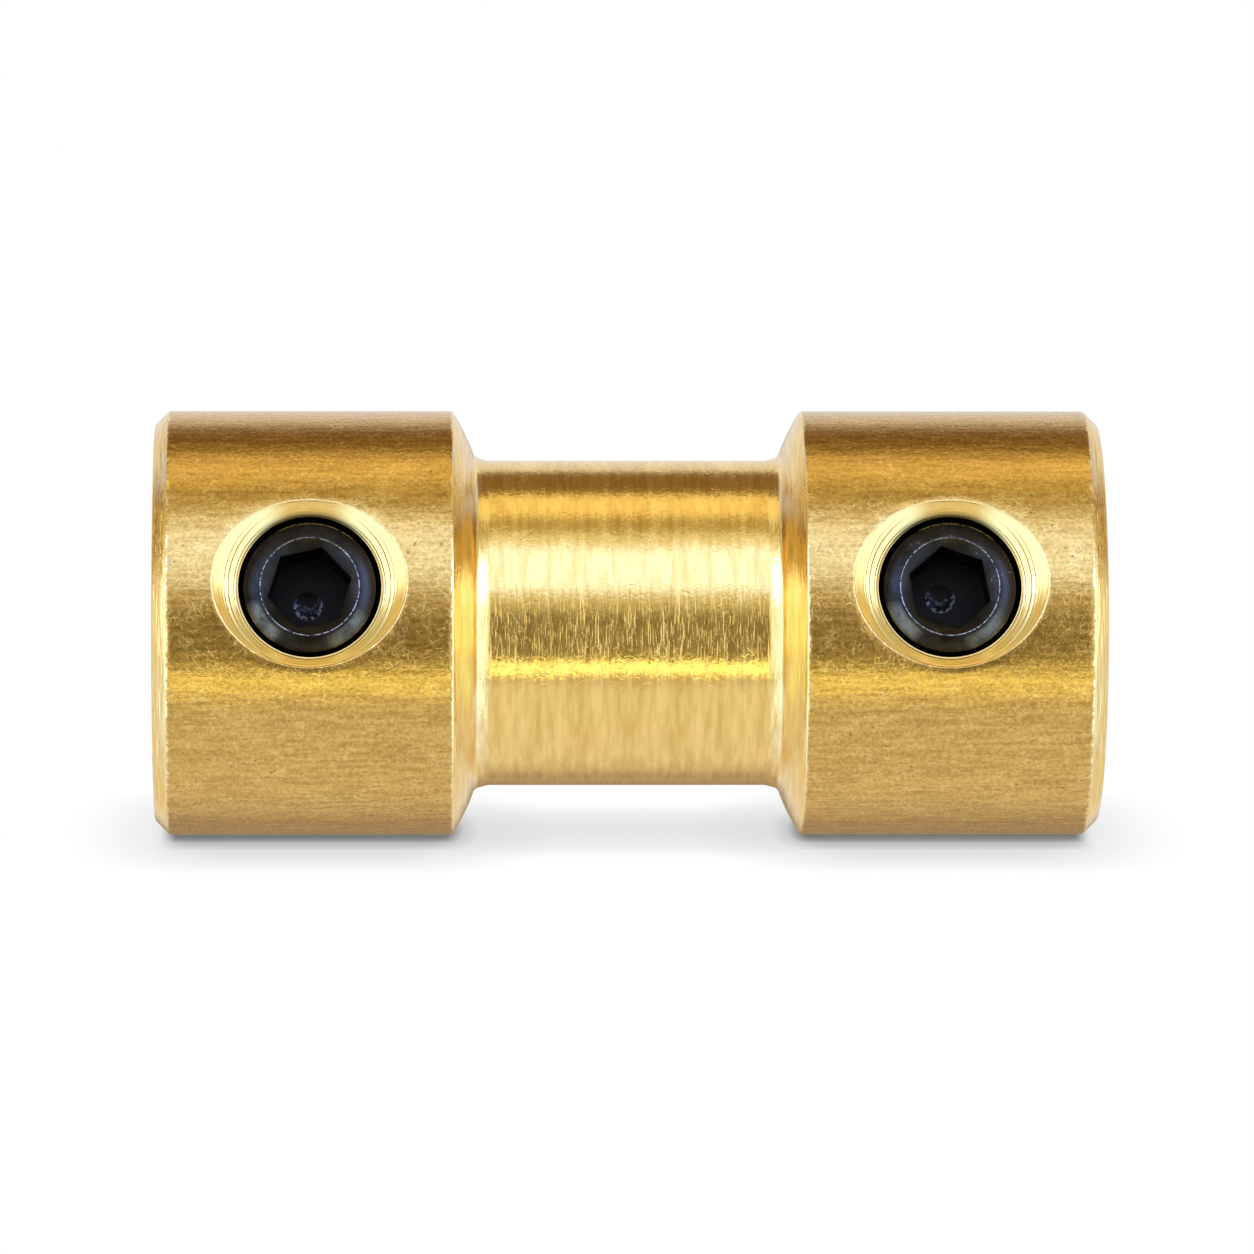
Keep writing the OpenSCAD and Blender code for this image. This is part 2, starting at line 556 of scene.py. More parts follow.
@dataclass
class SetScrew:
    """A cup-point set screw with a hexagon socket, standing in its tapped hole."""

    name: str
    node: str
    hole: TappedHole
    tip: float
    top: float
    socket_turn: float
    dimple_shift: tuple[float, float]
    play: float = 0.03
    cup_r: float = 0.7
    cup_depth: float = 0.3
    tip_land_r: float = 1.03
    socket_flats: float = 1.55
    socket_depth: float = 1.2
    mouth_r: float = 1.036
    mouth_slope: float = math.tan(math.radians(60))
    land_w: float = 0.04
    head_r: float = 1.385
    head_chamfer: float = 0.12
    dimple_r: float = 0.3
    dimple_slope: float = math.tan(math.radians(60))
    thread_rows: int = 56
    worn_edge: float = 0.01
    pole_r: float = 0.02
    segments: int = 192

    def hex_r(self, turn: float) -> float:
        """Distance from the axis to the socket's wall."""
        sixth = math.tau / 6
        from_flat = (turn - self.socket_turn) % sixth - sixth / 2
        return self.socket_flats / 2 / math.cos(from_flat)

    def shank(self, point: Vector) -> Vector:
        """Place of a point on the threaded shank, which is drawn in at both ends."""
        turn, rise = self.hole.axis.turn_of(point), -point.y
        thread = self.hole.thread
        head = self.top - self.head_chamfer
        full_r = thread.major_r - self.play
        crest = self.head_r + (full_r - self.head_r) * ease(rise, head, head - thread.run_in)
        cut = thread.cut(turn, rise, self.hole.sink_foot, self.hole.bore_r)
        cone = self.tip_land_r + (rise - self.tip)
        return self.hole.axis.at(turn, min(crest - cut, cone), rise)

    def circle(self, radius: float, rise: float) -> Place:
        """Gives the place of a point on a ring about the screw's axis."""
        axis = self.hole.axis
        return lambda point: axis.at(axis.turn_of(point), radius, rise)

    def mouth(self, point: Vector) -> Vector:
        """Place of a point where the socket's tapered mouth meets its flat walls."""
        turn = self.hole.axis.turn_of(point)
        radius = self.hex_r(turn)
        return self.hole.axis.at(turn, radius, self.top - (self.mouth_r - radius) / self.mouth_slope)

    def socket_foot(self, point: Vector) -> Vector:
        """Place of a point where the socket's flat walls meet its floor."""
        turn = self.hole.axis.turn_of(point)
        return self.hole.axis.at(turn, self.hex_r(turn), self.top - self.socket_depth)

    def start_ring(self, bm: BMesh) -> list[BMEdge]:
        """Draws the rim of the cup in the point.

        Args:
            bm: Shape to draw in.

        Returns:
            The edges of the rim.
        """
        axis = self.hole.axis
        place = Matrix.Translation((axis.across, -self.tip, axis.height))
        turn = Matrix.Rotation(math.radians(90), 4, "X") @ Matrix.Rotation(self.socket_turn, 4, "Z")
        bmesh.ops.create_circle(bm, segments=self.segments, radius=self.cup_r, matrix=place @ turn)
        return bm.edges[:]

    def build(self) -> Object:
        """Sweeps the screw from its cup up the thread and down into the socket.

        Returns:
            The screw's object.
        """
        bm = bmesh.new()
        axis = self.hole.axis
        rim = self.start_ring(bm)
        cup = RingSweep(bm, rim, Finish.DRAWN)
        cup.to(self.circle(self.pole_r, self.tip + self.cup_depth))
        cup.close()
        sweep = RingSweep(bm, rim, Finish.DRAWN)
        sweep.to(self.circle(self.tip_land_r, self.tip))
        head = self.circle(self.head_r, self.top - self.head_chamfer)
        worn = list(sweep.to(head, self.thread_rows, self.shank))
        worn += sweep.to(self.circle(self.mouth_r + self.land_w, self.top))
        worn += sweep.to(self.circle(self.mouth_r, self.top))
        worn += sweep.to(self.mouth)
        sweep.to(self.socket_foot)
        across, along = self.dimple_shift
        dimple = ScrewAxis(axis.height + along, axis.across + across)
        floor = self.top - self.socket_depth
        bottom = floor - self.dimple_r / self.dimple_slope
        sweep.to(lambda point: dimple.at(axis.turn_of(point), self.dimple_r, floor))
        sweep.to(lambda point: dimple.at(dimple.turn_of(point), self.pole_r, bottom))
        sweep.close()
        break_sharp(bm, worn, self.worn_edge, segments=2)
        return finish_piece(bm, self.name, self.node)

    def dress(self, piece: Object) -> None:
        """Gives the screw its blackened finish, worn bright round the land."""
        finish = BlackSteel(
            name=f"{self.name}_black_steel",
            height=self.hole.axis.height,
            land_r=self.mouth_r + self.worn_edge / 2,
            land_rise=self.top,
            head_r=self.head_r,
            socket_depth=self.socket_depth,
            dimple_r=self.dimple_r,
            dimple_shift=self.dimple_shift,
        )
        piece.data.materials.append(finish.material())


class Signal:
    """A shader value that takes part in Python arithmetic."""

    def __init__(self, tree: "Tree", socket: NodeSocket) -> None:
        """Wraps one output socket of a tree."""
        self.tree = tree
        self.socket = socket

    def __add__(self, other: "Signal | float") -> "Signal":
        """Sum."""
        return self.tree.math("ADD", self, other)

    __radd__ = __add__

    def __sub__(self, other: "Signal | float") -> "Signal":
        """Difference."""
        return self.tree.math("SUBTRACT", self, other)

    def __rsub__(self, other: float) -> "Signal":
        """Difference from a number."""
        return self.tree.math("SUBTRACT", other, self)

    def __mul__(self, other: "Signal | float") -> "Signal":
        """Product."""
        return self.tree.math("MULTIPLY", self, other)

    __rmul__ = __mul__

    def __truediv__(self, other: "Signal | float") -> "Signal":
        """Quotient."""
        return self.tree.math("DIVIDE", self, other)

    def __pow__(self, other: "Signal | float") -> "Signal":
        """Power."""
        return self.tree.math("POWER", self, other)

    def __abs__(self) -> "Signal":
        """Distance from zero."""
        return self.tree.math("ABSOLUTE", self)

    def rise(self, low: float, high: float) -> "Signal":
        """Smooth step of the value.

        Args:
            low: Value that gives 0.
            high: Value that gives 1. It may be below the other.

        Returns:
            A value from 0 to 1.
        """
        first, last = min(low, high), max(low, high)
        node = self.tree.node(
            "ShaderNodeMapRange",
            {"interpolation_type": "SMOOTHSTEP"},
            {"Value": self, "From Min": first, "From Max": last},
        )
        step = Signal(self.tree, node.outputs[0])
        return step if low < high else 1 - step


class Tree:
    """A node tree that is filled from Python expressions."""

    def __init__(self, tree: NodeTree) -> None:
        """Empties the tree."""
        self.tree = tree
        tree.nodes.clear()

    def node(
        self,
        kind: str,
        settings: dict[str, Any] | None = None,
        values: dict[str | int, Any] | None = None,
    ) -> Node:
        """Adds a node.

        Args:
            kind: Blender's name of the node's type.
            settings: Properties of the node, set before its sockets.
            values: Numbers, colours, signals or sockets for its inputs.

        Returns:
            The new node.
        """
        made = self.tree.nodes.new(kind)
        for name, setting in (settings or {}).items():
            setattr(made, name, setting)
        for name, value in (values or {}).items():
            if isinstance(value, Signal):
                value = value.socket
            if isinstance(value, NodeSocket):
                self.tree.links.new(value, made.inputs[name])
            else:
                made.inputs[name].default_value = value
        return made

    def math(self, operation: str, *terms: Signal | float) -> Signal:
        """Result of a Math node with its inputs in order."""
        made = self.node("ShaderNodeMath", {"operation": operation}, dict(enumerate(terms)))
        return Signal(self, made.outputs[0])

    def vector(self, operation: str, *terms: Any, output: str = "Vector") -> NodeSocket:
        """Chosen output of a Vector Math node with its inputs in order."""
        made = self.node("ShaderNodeVectorMath", {"operation": operation}, dict(enumerate(terms)))
        return made.outputs[output]

    def point(self) -> NodeSocket:
        """Place on the piece in millimetres."""
        place = self.node("ShaderNodeTexCoord").outputs["Object"]
        return self.vector("MULTIPLY", place, (1 / MM, 1 / MM, 1 / MM))

    def parts(self, vector: NodeSocket) -> list[Signal]:
        """The three parts of a vector."""
        node = self.node("ShaderNodeSeparateXYZ", None, {0: vector})
        return [Signal(self, socket) for socket in node.outputs]

    def join(self, x: Signal | float, y: Signal | float, z: Signal | float) -> NodeSocket:
        """A vector from its three parts."""
        return self.node("ShaderNodeCombineXYZ", None, {0: x, 1: y, 2: z}).outputs[0]

    def noise(
        self,
        place: NodeSocket,
        per_mm: Scale,
        detail: float = 2.0,
        roughness: float = 0.5,
        shift: float = 0.0,
    ) -> Signal:
        """Noise that is stretched by its own scale along each axis.

        Args:
            place: Where the noise is read.
            per_mm: Features in each millimetre along x, y and z.
            detail: Finer layers on top of the first.
            roughness: Weight of the finer layers.
            shift: Moves the noise, so that two of the same scale differ.

        Returns:
            A value about 0.5.
        """
        scaled = self.vector("MULTIPLY", place, per_mm)
        moved = self.vector("ADD", scaled, (shift, shift * 1.7, shift * 0.6)) if shift else scaled
        node = self.node(
            "ShaderNodeTexNoise",
            {"noise_dimensions": "3D"},
            {"Vector": moved, "Scale": 1.0, "Detail": detail, "Roughness": roughness},
        )
        return Signal(self, node.outputs["Fac"])

    def scuffs(self, place: NodeSocket, level: float) -> Signal:
        """Short straight scratches both ways, as the part gets from lying among others.

        Args:
            place: Where the scratches are read.
            level: Level of the noise above which a scratch shows.

        Returns:
            1 or more in a scratch and 0 beside it.
        """
        total: Signal | float = 0.0
        for count, angle in enumerate(SCUFF_ANGLES):
            values = {"Vector": place, "Angle": math.radians(angle)}
            turn = self.node("ShaderNodeVectorRotate", {"rotation_type": "Y_AXIS"}, values)
            noise = self.noise(turn.outputs[0], SCRATCHES_PER_MM, 1.0, 0.4, 5.0 + 7.3 * count)
            total = noise.rise(level, level + SCRATCH_EDGE) + total
        return total

    def hairs(self, place: NodeSocket, per_mm: float, shift: float) -> Signal:
        """Short curly marks, as grit leaves them.

        Args:
            place: Where the marks are read.
            per_mm: Curls in each millimetre.
            shift: Moves the pattern.

        Returns:
            1 in a mark and 0 beside it.
        """
        field = self.noise(place, (per_mm, per_mm, per_mm), 1.0, 0.5, shift)
        patch = self.noise(place, (per_mm / 2, per_mm / 2, per_mm / 2), 1.0, 0.5, shift + 9.0)
        return abs(field - 0.5).rise(*HAIR_WIDTHS) * patch.rise(*HAIR_PATCHES)

    def blend(self, factor: Signal | float, first: Any, second: Any) -> NodeSocket:
        """Colour from the first to the second, as the factor goes from 0 to 1."""
        made = self.node("ShaderNodeMix", {"data_type": "RGBA"}, {0: factor, 6: first, 7: second})
        return made.outputs[2]

    def bump(self, height: Signal, depth: float) -> NodeSocket:
        """Normal of a surface with relief, in units of a depth in millimetres."""
        values = {"Strength": 1.0, "Distance": depth * MM, "Height": height}
        return self.node("ShaderNodeBump", None, values).outputs["Normal"]


def new_material(name: str) -> tuple[Material, Tree]:
    """Starts a material.

    Args:
        name: Name of the material.

    Returns:
        The material and its empty tree.
    """
    material = bpy.data.materials.new(name)
    material.use_nodes = True
    return material, Tree(material.node_tree)


def close_metal(tree: Tree, colour: NodeSocket, roughness: Signal, normal: NodeSocket) -> None:
    """Ends a material with a metal surface.

    Args:
        tree: The material's tree.
        colour: Colour of the metal.
        roughness: Roughness over the surface.
        normal: Normal with the relief.
    """
    values = {"Base Color": colour, "Metallic": 1.0, "Roughness": roughness, "Normal": normal}
    surface = tree.node("ShaderNodeBsdfPrincipled", None, values)
    tree.node("ShaderNodeOutputMaterial", None, {"Surface": surface.outputs[0]})


@dataclass(frozen=True)
class DrawnBrass:
    """Wall of the collars: drawn bar, speckled, streaked along the bore and worn at its edges."""

    middle: float
    edges: tuple[float, float]
    pale: RGBA = (0.79, 0.515, 0.160, 1)
    deep: RGBA = (0.46, 0.280, 0.070, 1)
    pit: RGBA = (0.24, 0.135, 0.04, 1)
    # Bright brass of worn edges, also painted onto scratch marks as a glint.
    worn_and_glint: RGBA = (1.0, 0.76, 0.33, 1)
    smooth: float = 0.11
    rough: float = 0.10
    relief: float = 0.0032
    streaks_per_mm: Scale = (9, 9, 0.9)
    lines_per_mm: Scale = (0.8, 0.8, 12)
    grains_per_mm: Scale = (11.5, 11.5, 11.5)
    swells_per_mm: Scale = (2.2, 2.2, 2.2)
    pits_per_mm: Scale = (9, 9, 9)
    wear_per_mm: Scale = (5, 5, 5)
    wear_w: float = 0.07

    def material(self) -> Material:
        """Builds the material.

        Returns:
            The material.
        """
        material, tree = new_material("drawn_brass")
        place = tree.point()
        away = abs(tree.parts(place)[2] - self.middle)
        inner, outer = (abs(away - edge).rise(self.wear_w, self.wear_w / 4) for edge in self.edges)
        drawn = tree.noise(place, self.streaks_per_mm, 3.0, 0.6)
        turned = tree.noise(place, self.lines_per_mm, 2.0, 0.5, 4.0)
        grain = tree.noise(place, self.grains_per_mm, 4.0, 0.68, 2.0)
        swell = tree.noise(place, self.swells_per_mm, 2.0, 0.5, 7.0)
        scuffs = tree.scuffs(place, 0.70)
        hairs = tree.hairs(place, 6.0, 21.0)
        pits = tree.noise(place, self.pits_per_mm, 1.0, 0.5, 15.0).rise(0.73, 0.79)
        shade = grain.rise(0.34, 0.66) * 0.60 + drawn.rise(0.36, 0.64) * 0.40
        colour = tree.blend(shade, self.deep, self.pale)
        wear = tree.noise(place, self.wear_per_mm, 3.0, 0.6, 27.0).rise(0.46, 0.60)
        worn = (inner + outer) * wear
        # Scratch marks painted brighter, as if catching light; their relief is real.
        colour = tree.blend(hairs * 0.28, colour, self.worn_and_glint)
        colour = tree.blend(worn * 0.7, colour, self.worn_and_glint)
        colour = tree.blend(pits * 0.8, colour, self.pit)
        roughness = self.smooth + self.rough * (grain * 0.7 + drawn * 0.5 - worn * 0.4)
        marks = scuffs * 0.3 + hairs * 0.35 + pits * 0.8 + worn * 0.8
        height = drawn * 0.6 + turned * 0.5 + grain * 1.8 + swell * 1.3 - marks
        close_metal(tree, colour, roughness, tree.bump(height, self.relief))
        return material


@dataclass(frozen=True)
class TurnedBrass:
    """Neck, shoulders, chamfers, faces and bore: fine lines left by the turning tool."""

    middle: float
    pale: RGBA = (0.95, 0.700, 0.260, 1)
    deep: RGBA = (0.73, 0.485, 0.145, 1)
    smooth: float = 0.08
    rough: float = 0.11
    relief: float = 0.0026
    lead: float = 1.6
    lines_per_mm: Scale = (1.2, 1.2, 9.0)
    bands_per_mm: Scale = (0.3, 0.3, 4.0)
    grains_per_mm: Scale = (12, 12, 12)

    def material(self) -> Material:
        """Builds the material.

        Returns:
            The material.
        """
        material, tree = new_material("turned_brass")
        place = tree.point()
        x, y, z = tree.parts(place)
        radius = (x * x + y * y) ** 0.5
        feed = abs(z - self.middle) - radius * self.lead
        path = tree.join(x, y, feed)
        lines = tree.noise(path, self.lines_per_mm, 2.2, 0.55)
        bands = tree.noise(path, self.bands_per_mm, 2.0, 0.5, 3.0)
        grain = tree.noise(place, self.grains_per_mm, 2.0, 0.5, 5.0)
        scuffs = tree.scuffs(place, 0.71)
        hairs = tree.hairs(place, 4.0, 33.0)
        shade = lines.rise(0.3, 0.7) * 0.6 + bands.rise(0.3, 0.7) * 0.4
        colour = tree.blend(shade, self.deep, self.pale)
        roughness = self.smooth + self.rough * (lines * 0.8 + grain * 0.4)
        height = lines * 6.5 + bands * 3.0 + grain * 1.1 - scuffs * 0.3 - hairs * 0.4
        close_metal(tree, colour, roughness, tree.bump(height, self.relief))
        return material


@dataclass(frozen=True)
class CutBrass:
    """Countersinks and threads: bright rings round each hole's own axis."""

    heights: tuple[float, ...]
    pale: RGBA = (0.90, 0.66, 0.25, 1)
    deep: RGBA = (0.78, 0.52, 0.15, 1)
    # Painted shade, laid down the thread and over the upper side of each countersink.
    painted_shade: RGBA = (0.06, 0.036, 0.010, 1)
    smooth: float = 0.12
    rough: float = 0.12
    relief: float = 0.0016
    cone: float = math.radians(35)
    thread_r: float = 1.5
    thread_rise: float = 3.76
    rings_per_r: float = 16.0
    rings_per_rise: float = 9.0
    grains_per_mm: Scale = (8, 8, 8)
    # Reach of the painted shade down the thread.
    thread_shade_l: float = 0.12
    tilt: float = math.tan(math.radians(16))
    dull_l: float = 0.08
    shade_l: float = 0.22

    def material(self) -> Material:
        """Builds the material.

        Returns:
            The material.
        """
        material, tree = new_material("cut_brass")
        place = tree.point()
        x, y, z = tree.parts(place)
        middle = sum(self.heights) / len(self.heights)
        reach = abs(self.heights[0] - middle)
        along = abs(z - middle) - reach
        radius = (x * x + along * along) ** 0.5
        path = radius * self.rings_per_r - y * self.rings_per_rise
        rings = tree.noise(tree.join(x * 0.4, along * 0.4, path), (1, 1, 1), 3.0, 0.6)
        grain = tree.noise(place, self.grains_per_mm, 2.0, 0.5, 5.0)
        colour = tree.blend(rings * 0.6 + grain * 0.4, self.deep, self.pale)
        out = -1 * y
        # Painted shade down the thread, darker deeper in.
        painted_thread_shade = out.rise(self.thread_rise, self.thread_rise - self.thread_shade_l)
        colour = tree.blend(painted_thread_shade * 0.9, colour, self.painted_shade)
        # Painted shade over the upper side of each countersink, next to the thread.
        shaded = (x / radius).rise(0.50, 0.92)
        shaded = shaded * out.rise(self.thread_rise + self.shade_l, self.thread_rise)
        colour = tree.blend(shaded * 0.9, colour, self.painted_shade)
        roughness = self.smooth + self.rough * (rings * 0.7 + grain * 0.5)
        slope, steep = math.sin(self.cone), math.cos(self.cone)
        up_cone = radius * slope - y * steep
        start = self.thread_r * slope + self.thread_rise * steep + self.dull_l
        ramp = tree.math("MAXIMUM", up_cone - start, 0.0) * (self.tilt / self.relief)
        height = rings * 3.6 + grain * 0.5 - ramp
        close_metal(tree, colour, roughness, tree.bump(height, self.relief))
        return material


@dataclass(frozen=True)
class BlackSteel:
    """Blackened steel of a set screw, worn bright round the land of its socket."""

    name: str
    height: float
    land_r: float
    land_rise: float
    head_r: float
    socket_depth: float
    dimple_r: float
    dimple_shift: tuple[float, float]
    pale: RGBA = (0.033, 0.027, 0.020, 1)
    deep: RGBA = (0.018, 0.015, 0.012, 1)
    # Painted shade inside the socket.
    painted_socket_shade: RGBA = (0.010, 0.009, 0.008, 1)
    # Painted highlights on the chamfer ring.
    highlight_colour: RGBA = (0.20, 0.18, 0.12, 1)
    # Painted sheen on one side of the chamfer ring.
    sheen: RGBA = (0.062, 0.054, 0.042, 1)
    # Bright steel of real chips, also used for a painted glint on the dimple's rim.
    chips_and_dimple_glint: RGBA = (0.26, 0.25, 0.22, 1)
    # Painted reflection of the brass on the screw's outer edge.
    brass_reflection: RGBA = (0.55, 0.42, 0.16, 1)
    worn: RGBA = (0.46, 0.46, 0.45, 1)
    smooth: float = 0.18
    rough: float = 0.18
    relief: float = 0.003
    clouds_per_mm: Scale = (3, 3, 3)
    grains_per_mm: Scale = (14, 14, 14)
    # Directions of the painted highlights, lower left and lower right.
    highlight_left: Way = (-0.60, 0.80)
    highlight_right: Way = (-0.77, -0.64)
    # Side of the painted sheen.
    sheen_side: Way = (-0.05, -1.0)
    # Side of the painted brass reflection.
    brass_reflection_side: Way = (1.0, -0.10)

    @staticmethod
    def facing(x: Signal, across: Signal, radius: Signal, way: Way) -> Signal:
        """1 on one side of the screw's axis, 0 square to it and less on the far side."""
        return (x * way[0] + across * way[1]) / radius

    def material(self) -> Material:
        """Builds the material.

        Returns:
            The material.
        """
        material, tree = new_material(self.name)
        place = tree.point()
        x, y, z = tree.parts(place)
        across = z - self.height
        radius = (x * x + across * across) ** 0.5
        cloud = tree.noise(place, self.clouds_per_mm, 3.0, 0.6)
        grain = tree.noise(place, self.grains_per_mm, 3.0, 0.6, 4.0)
        rings = tree.noise(tree.join(x * 0.5, across * 0.5, radius * 14.0 - y * 8.0), (1, 1, 1), 2.0)
        depth = y + self.land_rise
        land = abs(radius - self.land_r).rise(0.017, 0.004) * depth.rise(0.05, 0.012)
        wear = land * grain.rise(0.38, 0.60) * 0.7
        # Painted shade inside the socket, darker deeper in; the same mask makes it rougher and keeps
        # chips out.
        painted_socket_shade = depth.rise(0.0, 0.24) * radius.rise(self.land_r + 0.04, self.land_r)
        on_ring = radius.rise(self.land_r + 0.03, self.land_r + 0.12)
        # Painted highlights on the chamfer ring, lower left and lower right, broken up by noise.
        painted_highlights = self.facing(x, across, radius, self.highlight_left).rise(0.91, 0.99) * 0.9
        painted_highlights = painted_highlights + self.facing(x, across, radius, self.highlight_right).rise(0.88, 0.99) * 0.7
        painted_highlights = painted_highlights * on_ring * (cloud.rise(0.30, 0.62) * 0.5 + grain * 0.6)
        # Painted sheen on one side of the chamfer ring.
        painted_sheen = self.facing(x, across, radius, self.sheen_side).rise(0.62, 0.97) * on_ring
        # Painted reflection of the brass along the upper side of the screw's outer edge.
        crest = abs(radius - self.head_r).rise(0.045, 0.020) * grain.rise(0.34, 0.54)
        crest = crest * self.facing(x, across, radius, self.brass_reflection_side).rise(0.78, 0.90)
        chips = cloud.rise(0.64, 0.70) * grain.rise(0.52, 0.62) * (1 - painted_socket_shade)
        off_x, off_z = self.dimple_shift
        aside, along = x - off_x, across - off_z
        from_dimple = (aside * aside + along * along) ** 0.5
        # Painted glint round the lower side of the dimple's rim, speckled inside it.
        lower = (aside / from_dimple).rise(0.75, -0.1)
        rim = abs(from_dimple - self.dimple_r + 0.03).rise(0.055, 0.015) * grain.rise(0.42, 0.60)
        pit = from_dimple.rise(self.dimple_r, self.dimple_r - 0.05) * grain.rise(0.46, 0.64) * 0.2
        painted_dimple_glint = (rim + pit) * lower * depth.rise(self.socket_depth - 0.2, self.socket_depth - 0.05)
        colour = tree.blend(cloud.rise(0.3, 0.7), self.deep, self.pale)
        # Painted sheen, highlights, socket shade, brass reflection and dimple glint go into the
        # colour, with real chips and land wear.
        colour = tree.blend(painted_sheen * 0.6, colour, self.sheen)
        colour = tree.blend(painted_highlights, colour, self.highlight_colour)
        colour = tree.blend(painted_socket_shade * 0.9, colour, self.painted_socket_shade)
        colour = tree.blend(crest * 0.7, colour, self.brass_reflection)
        colour = tree.blend(painted_dimple_glint, colour, self.chips_and_dimple_glint)
        colour = tree.blend(chips * 0.8, colour, self.chips_and_dimple_glint)
        colour = tree.blend(wear, colour, self.worn)
        roughness = self.smooth + self.rough * (grain * 0.7 + cloud * 0.4) - wear * 0.1 + painted_socket_shade * 0.2
        height = grain * 0.7 + rings * 0.8
        close_metal(tree, colour, roughness, tree.bump(height, self.relief))
        return material


@dataclass(frozen=True)
class Panel:
    """One lit sheet of the light tent, as seen from the coupling.

    The angle turns about the bore, from the camera's direction towards the top of the picture.
    A sheet with tilts stands only there, off to both ends of the bore.
    """

    angle: float
    half_width: float
    softness: float
    colour: RGBA
    tilts: tuple[float, float] | None = None


@dataclass
class LightTent:
    """Plain studio round the coupling: lit sheets, two end walls, a white table and the camera."""

    aim: Vector
    collar_r: float
    panels: tuple[Panel, ...]
    camera_turn: float = math.radians(-11.4)
    camera_yaw: float = math.radians(1.3)
    camera_rise: float = math.radians(10)
    camera_sink: float = 0.09
    camera_slide: float = 0.02
    distance: float = 220.0
    photo_scale: float = 47.0
    sensor_w: float = 36.0
    clip_start: float = 0.01
    dim: RGBA = (0.28, 0.175, 0.073, 1)
    end_wall: RGBA = (1.12, 1.16, 1.45, 1)
    end_tilts: tuple[float, float] = (70, 84)
    table_side: float = 120.0
    contact: tuple[tuple[float, float], ...] = ((0.2, 0.60), (0.5, 0.38))
    broad: tuple[float, float] = (2.0, 0.33)
    contact_l: float = 9.75
    contact_edge: float = 0.2
    shade_samples: int = 6

    @property
    def towards_camera(self) -> Vector:
        """Direction from the coupling to the camera, square to the bore."""
        return Vector((math.sin(self.camera_turn), -math.cos(self.camera_turn), 0))

    @property
    def picture_up(self) -> Vector:
        """Direction of the picture's upper edge."""
        return Vector((math.cos(self.camera_turn), math.sin(self.camera_turn), 0))

    @property
    def table_up(self) -> Vector:
        """Direction square to the table on which the coupling lies."""
        rise = self.camera_rise
        return self.picture_up * math.cos(rise) + self.towards_camera * math.sin(rise)

    def light_world(self) -> None:
        """Wraps the coupling in the lit sheets; the camera itself sees plain white."""
        world = bpy.data.worlds.new("light_tent")
        bpy.context.scene.world = world
        world.use_nodes = True
        tree = Tree(world.node_tree)
        ray = tree.node("ShaderNodeTexCoord").outputs["Generated"]
        up = Signal(tree, tree.vector("DOT_PRODUCT", ray, self.picture_up, output="Value"))
        out = Signal(tree, tree.vector("DOT_PRODUCT", ray, self.towards_camera, output="Value"))
        along = Signal(tree, tree.vector("DOT_PRODUCT", ray, BORE_AXIS, output="Value"))
        angle = tree.math("ARCTAN2", up, out) * math.degrees(1)
        tilt = tree.math("ARCSINE", abs(along)) * math.degrees(1)
        colour: Any = self.dim
        for panel in self.panels:
            away = abs(tree.math("WRAP", angle - panel.angle, 180.0, -180.0))
            edge, soft = panel.half_width, panel.softness
            lit = away.rise(edge + soft, edge - soft)
            if panel.tilts:
                low, high = panel.tilts
                lit = lit * tilt.rise(low - soft, low + soft) * tilt.rise(high + soft, high - soft)
            colour = tree.blend(lit, colour, panel.colour)
        colour = tree.blend(tilt.rise(*self.end_tilts), colour, self.end_wall)
        path = tree.node("ShaderNodeLightPath")
        seen = Signal(tree, path.outputs["Is Camera Ray"])
        colour = tree.blend(seen, colour, WHITE)
        lamp = tree.node("ShaderNodeBackground", None, {"Color": colour, "Strength": 1.0})
        tree.node("ShaderNodeOutputWorld", None, {"Surface": lamp.outputs[0]})

    def shadow(self, tree: Tree, reach: float, share: float) -> Signal:
        """Light that the coupling keeps from the table.

        Args:
            tree: The table's material.
            reach: How far the shadow reaches, in millimetres.
            share: Share of the light that it takes at its darkest.

        Returns:
            The share that is taken at a place.
        """
        settings = {"samples": self.shade_samples}
        sky = tree.node("ShaderNodeAmbientOcclusion", settings, {"Distance": reach * MM})
        return share * (1 - Signal(tree, sky.outputs["AO"]))

    def table_material(self) -> Material:
        """White table that shows the coupling's shadow and is clear from behind.

        Returns:
            The material.
        """
        material, tree = new_material("white_table")
        away = abs(tree.parts(tree.point())[2] - self.aim.z)
        edge = self.contact_edge
        below = away.rise(self.contact_l + edge, self.contact_l - edge)
        shadows = [self.shadow(tree, *contact) * below for contact in self.contact]
        shadows.append(self.shadow(tree, *self.broad))
        light: Signal | float = 1.0
        for shadow in shadows:
            light = (1 - shadow) * light
        colour = tree.blend(light, BLACK, WHITE)
        glow = tree.node("ShaderNodeEmission", None, {"Color": colour, "Strength": 1.0})
        clear = tree.node("ShaderNodeBsdfTransparent")
        behind = tree.node("ShaderNodeNewGeometry").outputs["Backfacing"]
        mixed = tree.node(
            "ShaderNodeMixShader", None, {0: behind, 1: glow.outputs[0], 2: clear.outputs[0]}
        )
        tree.node("ShaderNodeOutputMaterial", None, {"Surface": mixed.outputs[0]})
        return material

    def lay_table(self) -> None:
        """Lays the white table under the collars, as they lie in the photograph."""
        up = self.table_up
        turn = up.to_track_quat("Z", "Y").to_matrix().to_4x4()
        place = Matrix.Translation((self.aim - up * self.collar_r) * MM)
        bm = bmesh.new()
        bmesh.ops.create_grid(bm, x_segments=1, y_segments=1, size=self.table_side * MM)
        bmesh.ops.transform(bm, matrix=place @ turn, verts=bm.verts[:])
        table = add_object(bm, "table")
        table.data.materials.append(self.table_material())
        table.visible_glossy = False
        table.visible_diffuse = False
        table.visible_transmission = False
        table.visible_shadow = False

